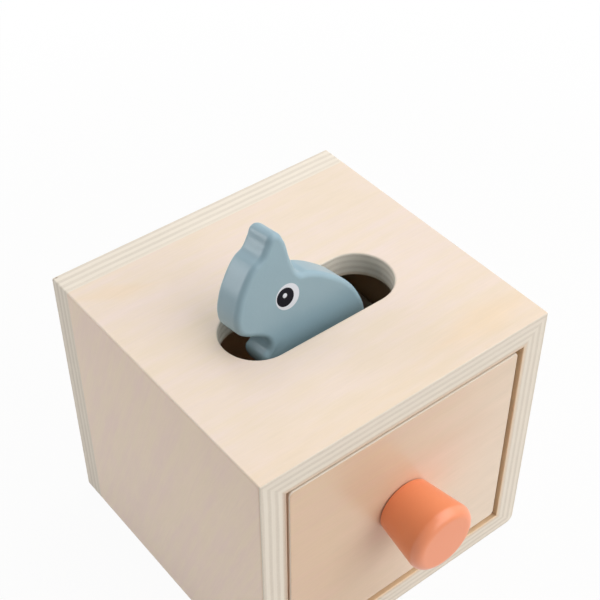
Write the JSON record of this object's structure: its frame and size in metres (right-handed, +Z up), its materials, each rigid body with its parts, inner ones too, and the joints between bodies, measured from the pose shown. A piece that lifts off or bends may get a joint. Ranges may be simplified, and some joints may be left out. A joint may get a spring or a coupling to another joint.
{
  "type": "object permanence box",
  "caption": "Mitred plywood toy box with a round-ended slot in its top, a knobbed drawer below and a thick painted wooden animal that drops through the slot.",
  "frame": {"origin": "centre of the case's underside", "axes": "+X to the right, +Y to the back (the drawer opens towards -Y), +Z up"},
  "size_m": [0.12, 0.1376, 0.1458],
  "materials": {
    "case_plywood": "satin clear lacquer",
    "drawer_plywood": "satin clear lacquer",
    "orange_paint": "satin paint",
    "blue_paint": "satin paint",
    "screw_steel": "zinc plated"
  },
  "bodies": {
    "case": {"top_panel": "case_plywood", "left_side": "case_plywood", "right_side": "case_plywood", "bottom_panel": "case_plywood", "back_panel": "case_plywood"},
    "drawer": {"drawer_front": "drawer_plywood", "drawer_left_side": "drawer_plywood", "drawer_right_side": "drawer_plywood", "drawer_back": "drawer_plywood", "drawer_floor": "drawer_plywood", "knob": "orange_paint", "knob_screw": "screw_steel"},
    "animal": {"animal_figure": "blue_paint"}
  },
  "joints": [
    {"name": "drawer_slide", "type": "slide", "parent": "case", "child": "drawer", "axis": [0, -1, 0], "range_m": [0, 0.095]},
    {"name": "animal_drop", "type": "slide", "parent": "case", "child": "animal", "axis": [0, 0.1736, 0.9848], "range_m": [-0.059, 0.045]}
  ]
}
